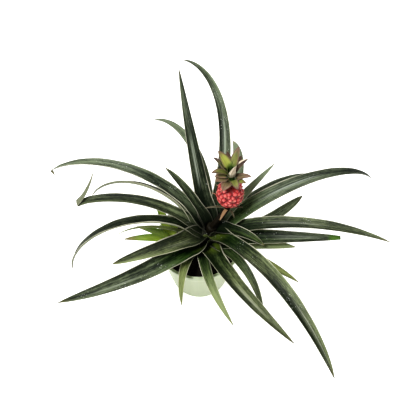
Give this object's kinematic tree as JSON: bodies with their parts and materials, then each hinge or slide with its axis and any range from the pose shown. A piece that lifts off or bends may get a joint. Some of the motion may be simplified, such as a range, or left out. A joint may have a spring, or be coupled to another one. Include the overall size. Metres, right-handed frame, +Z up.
{
  "type": "potted pineapple plant",
  "caption": "Ornamental pineapple in a small tapered nursery pot: arching strap leaves round a short leaning stem, an offset beside it, and one red fruit with a leafy crown.",
  "frame": {"origin": "centre of the pot's underside, on the surface it stands on", "axes": "+Z up; -Y is the front, where the pot shows under the two young front leaves; +X is the side the fruit leans to"},
  "size_m": [0.4477, 0.4613, 0.2597],
  "materials": {
    "pot": "thin translucent polypropylene, satin",
    "soil": "damp and crumbly",
    "stem": "matte",
    "leaf": "semi-gloss, finely striated, pale scaly margins",
    "young_leaf": "semi-gloss",
    "pup_leaf": "semi-gloss",
    "stalk": "matte",
    "bract": "matte, papery",
    "fruit": "waxy",
    "crown_leaf": "matte, dry margins"
  },
  "bodies": {
    "root": {"bract_front_left": "bract", "bract_front_right": "bract", "bract_left": "bract", "bract_right": "bract", "crown_core": "crown_leaf", "crown_leaf_back_left": "crown_leaf", "crown_leaf_back_right": "crown_leaf", "crown_leaf_back_top": "crown_leaf", "crown_leaf_front_dry": "crown_leaf", "crown_leaf_front_left": "crown_leaf", "crown_leaf_front_low": "crown_leaf", "crown_leaf_front_right": "crown_leaf", "crown_leaf_front_top": "crown_leaf", "crown_leaf_left_base": "crown_leaf", "crown_leaf_left_low": "crown_leaf", "crown_leaf_left_middle": "crown_leaf", "crown_leaf_left_top": "crown_leaf", "crown_leaf_right_low": "crown_leaf", "crown_leaf_right_middle": "crown_leaf", "crown_leaf_right_top": "crown_leaf", "fruit": "fruit", "fruit_stalk": "stalk", "leaf_back_arch": "leaf", "leaf_back_hidden": "leaf", "leaf_back_left": "leaf", "leaf_back_right": "leaf", "leaf_back_right_short": "leaf", "leaf_back_tall": "leaf", "leaf_front_big": "leaf", "leaf_front_green": "young_leaf", "leaf_front_left_small": "young_leaf", "leaf_front_middle": "leaf", "leaf_front_narrow": "leaf", "leaf_front_small": "young_leaf", "leaf_left_arch": "leaf", "leaf_left_big": "leaf", "leaf_left_creased": "leaf", "leaf_left_hair": "leaf", "leaf_left_long": "leaf", "leaf_left_olive": "leaf", "leaf_left_short": "leaf", "leaf_left_thin": "leaf", "leaf_right_blunt": "leaf", "leaf_right_cut": "leaf", "leaf_right_long": "leaf", "leaf_right_short": "leaf", "leaf_right_under": "young_leaf", "leaf_right_up": "leaf", "pot": "pot", "potting_soil": "soil", "pup_leaf_back": "pup_leaf", "pup_leaf_back_left": "pup_leaf", "pup_leaf_back_right": "pup_leaf", "pup_leaf_front": "pup_leaf", "pup_leaf_front_left": "pup_leaf", "pup_leaf_left": "pup_leaf", "pup_stem": "stem", "stem": "stem"}
  },
  "joints": []
}
